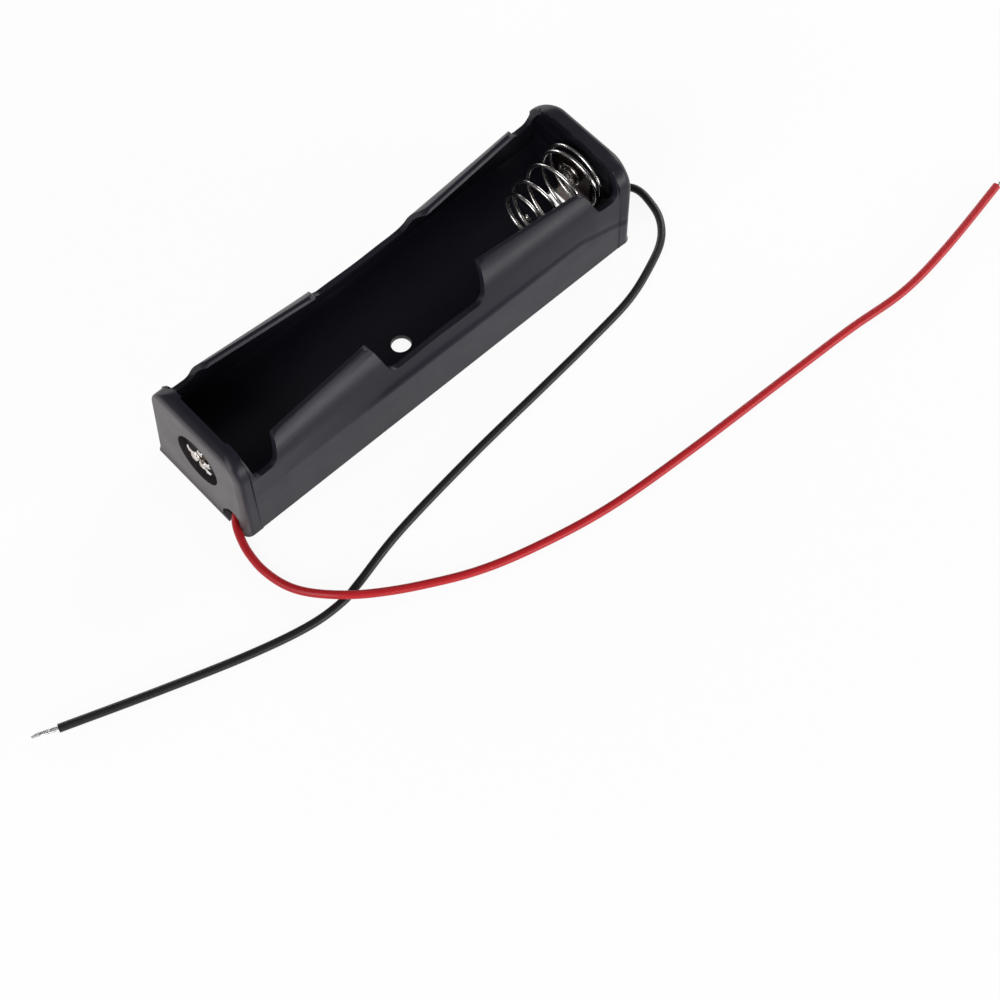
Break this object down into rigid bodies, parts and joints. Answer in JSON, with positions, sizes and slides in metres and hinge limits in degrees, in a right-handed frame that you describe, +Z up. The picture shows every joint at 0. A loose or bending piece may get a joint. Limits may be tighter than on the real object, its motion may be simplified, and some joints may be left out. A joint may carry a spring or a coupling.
{
  "type": "cylindrical cell holder",
  "caption": "Open tray that holds a round rechargeable cell between a riveted contact and a conical spring, with red and black leads.",
  "frame": {"origin": "middle of the tray's underside", "axes": "+X along the cell towards the spring end, +Z up out of the open mouth, +Y away from the side where the leads come out"},
  "size_m": [0.1742, 0.0577, 0.0185],
  "materials": {
    "tray": "gloss",
    "contact_plate": "nickel plated",
    "rivet": "nickel plated",
    "spring_wire": "bright",
    "red_insulation": "semi-gloss",
    "black_insulation": "semi-gloss",
    "copper_strands": "bare",
    "tinned_strands": "tinned",
    "solder": "satin"
  },
  "bodies": {
    "holder": {"holder_body": "tray", "positive_plate": "contact_plate", "positive_rivet": "rivet", "negative_plate": "contact_plate", "negative_rivet": "rivet", "red_lead": "red_insulation", "black_lead": "black_insulation", "red_core": "copper_strands", "black_core": "copper_strands", "red_tip": "tinned_strands", "black_tip": "tinned_strands", "positive_solder": "solder", "negative_solder": "solder"},
    "spring": {"negative_spring": "spring_wire"}
  },
  "joints": [
    {"name": "spring_press", "type": "slide", "parent": "holder", "child": "spring", "axis": [1, 0, 0], "range_m": [0, 0.0059], "stiffness_N_per_m": 500, "deforming": ["negative_spring"]}
  ]
}
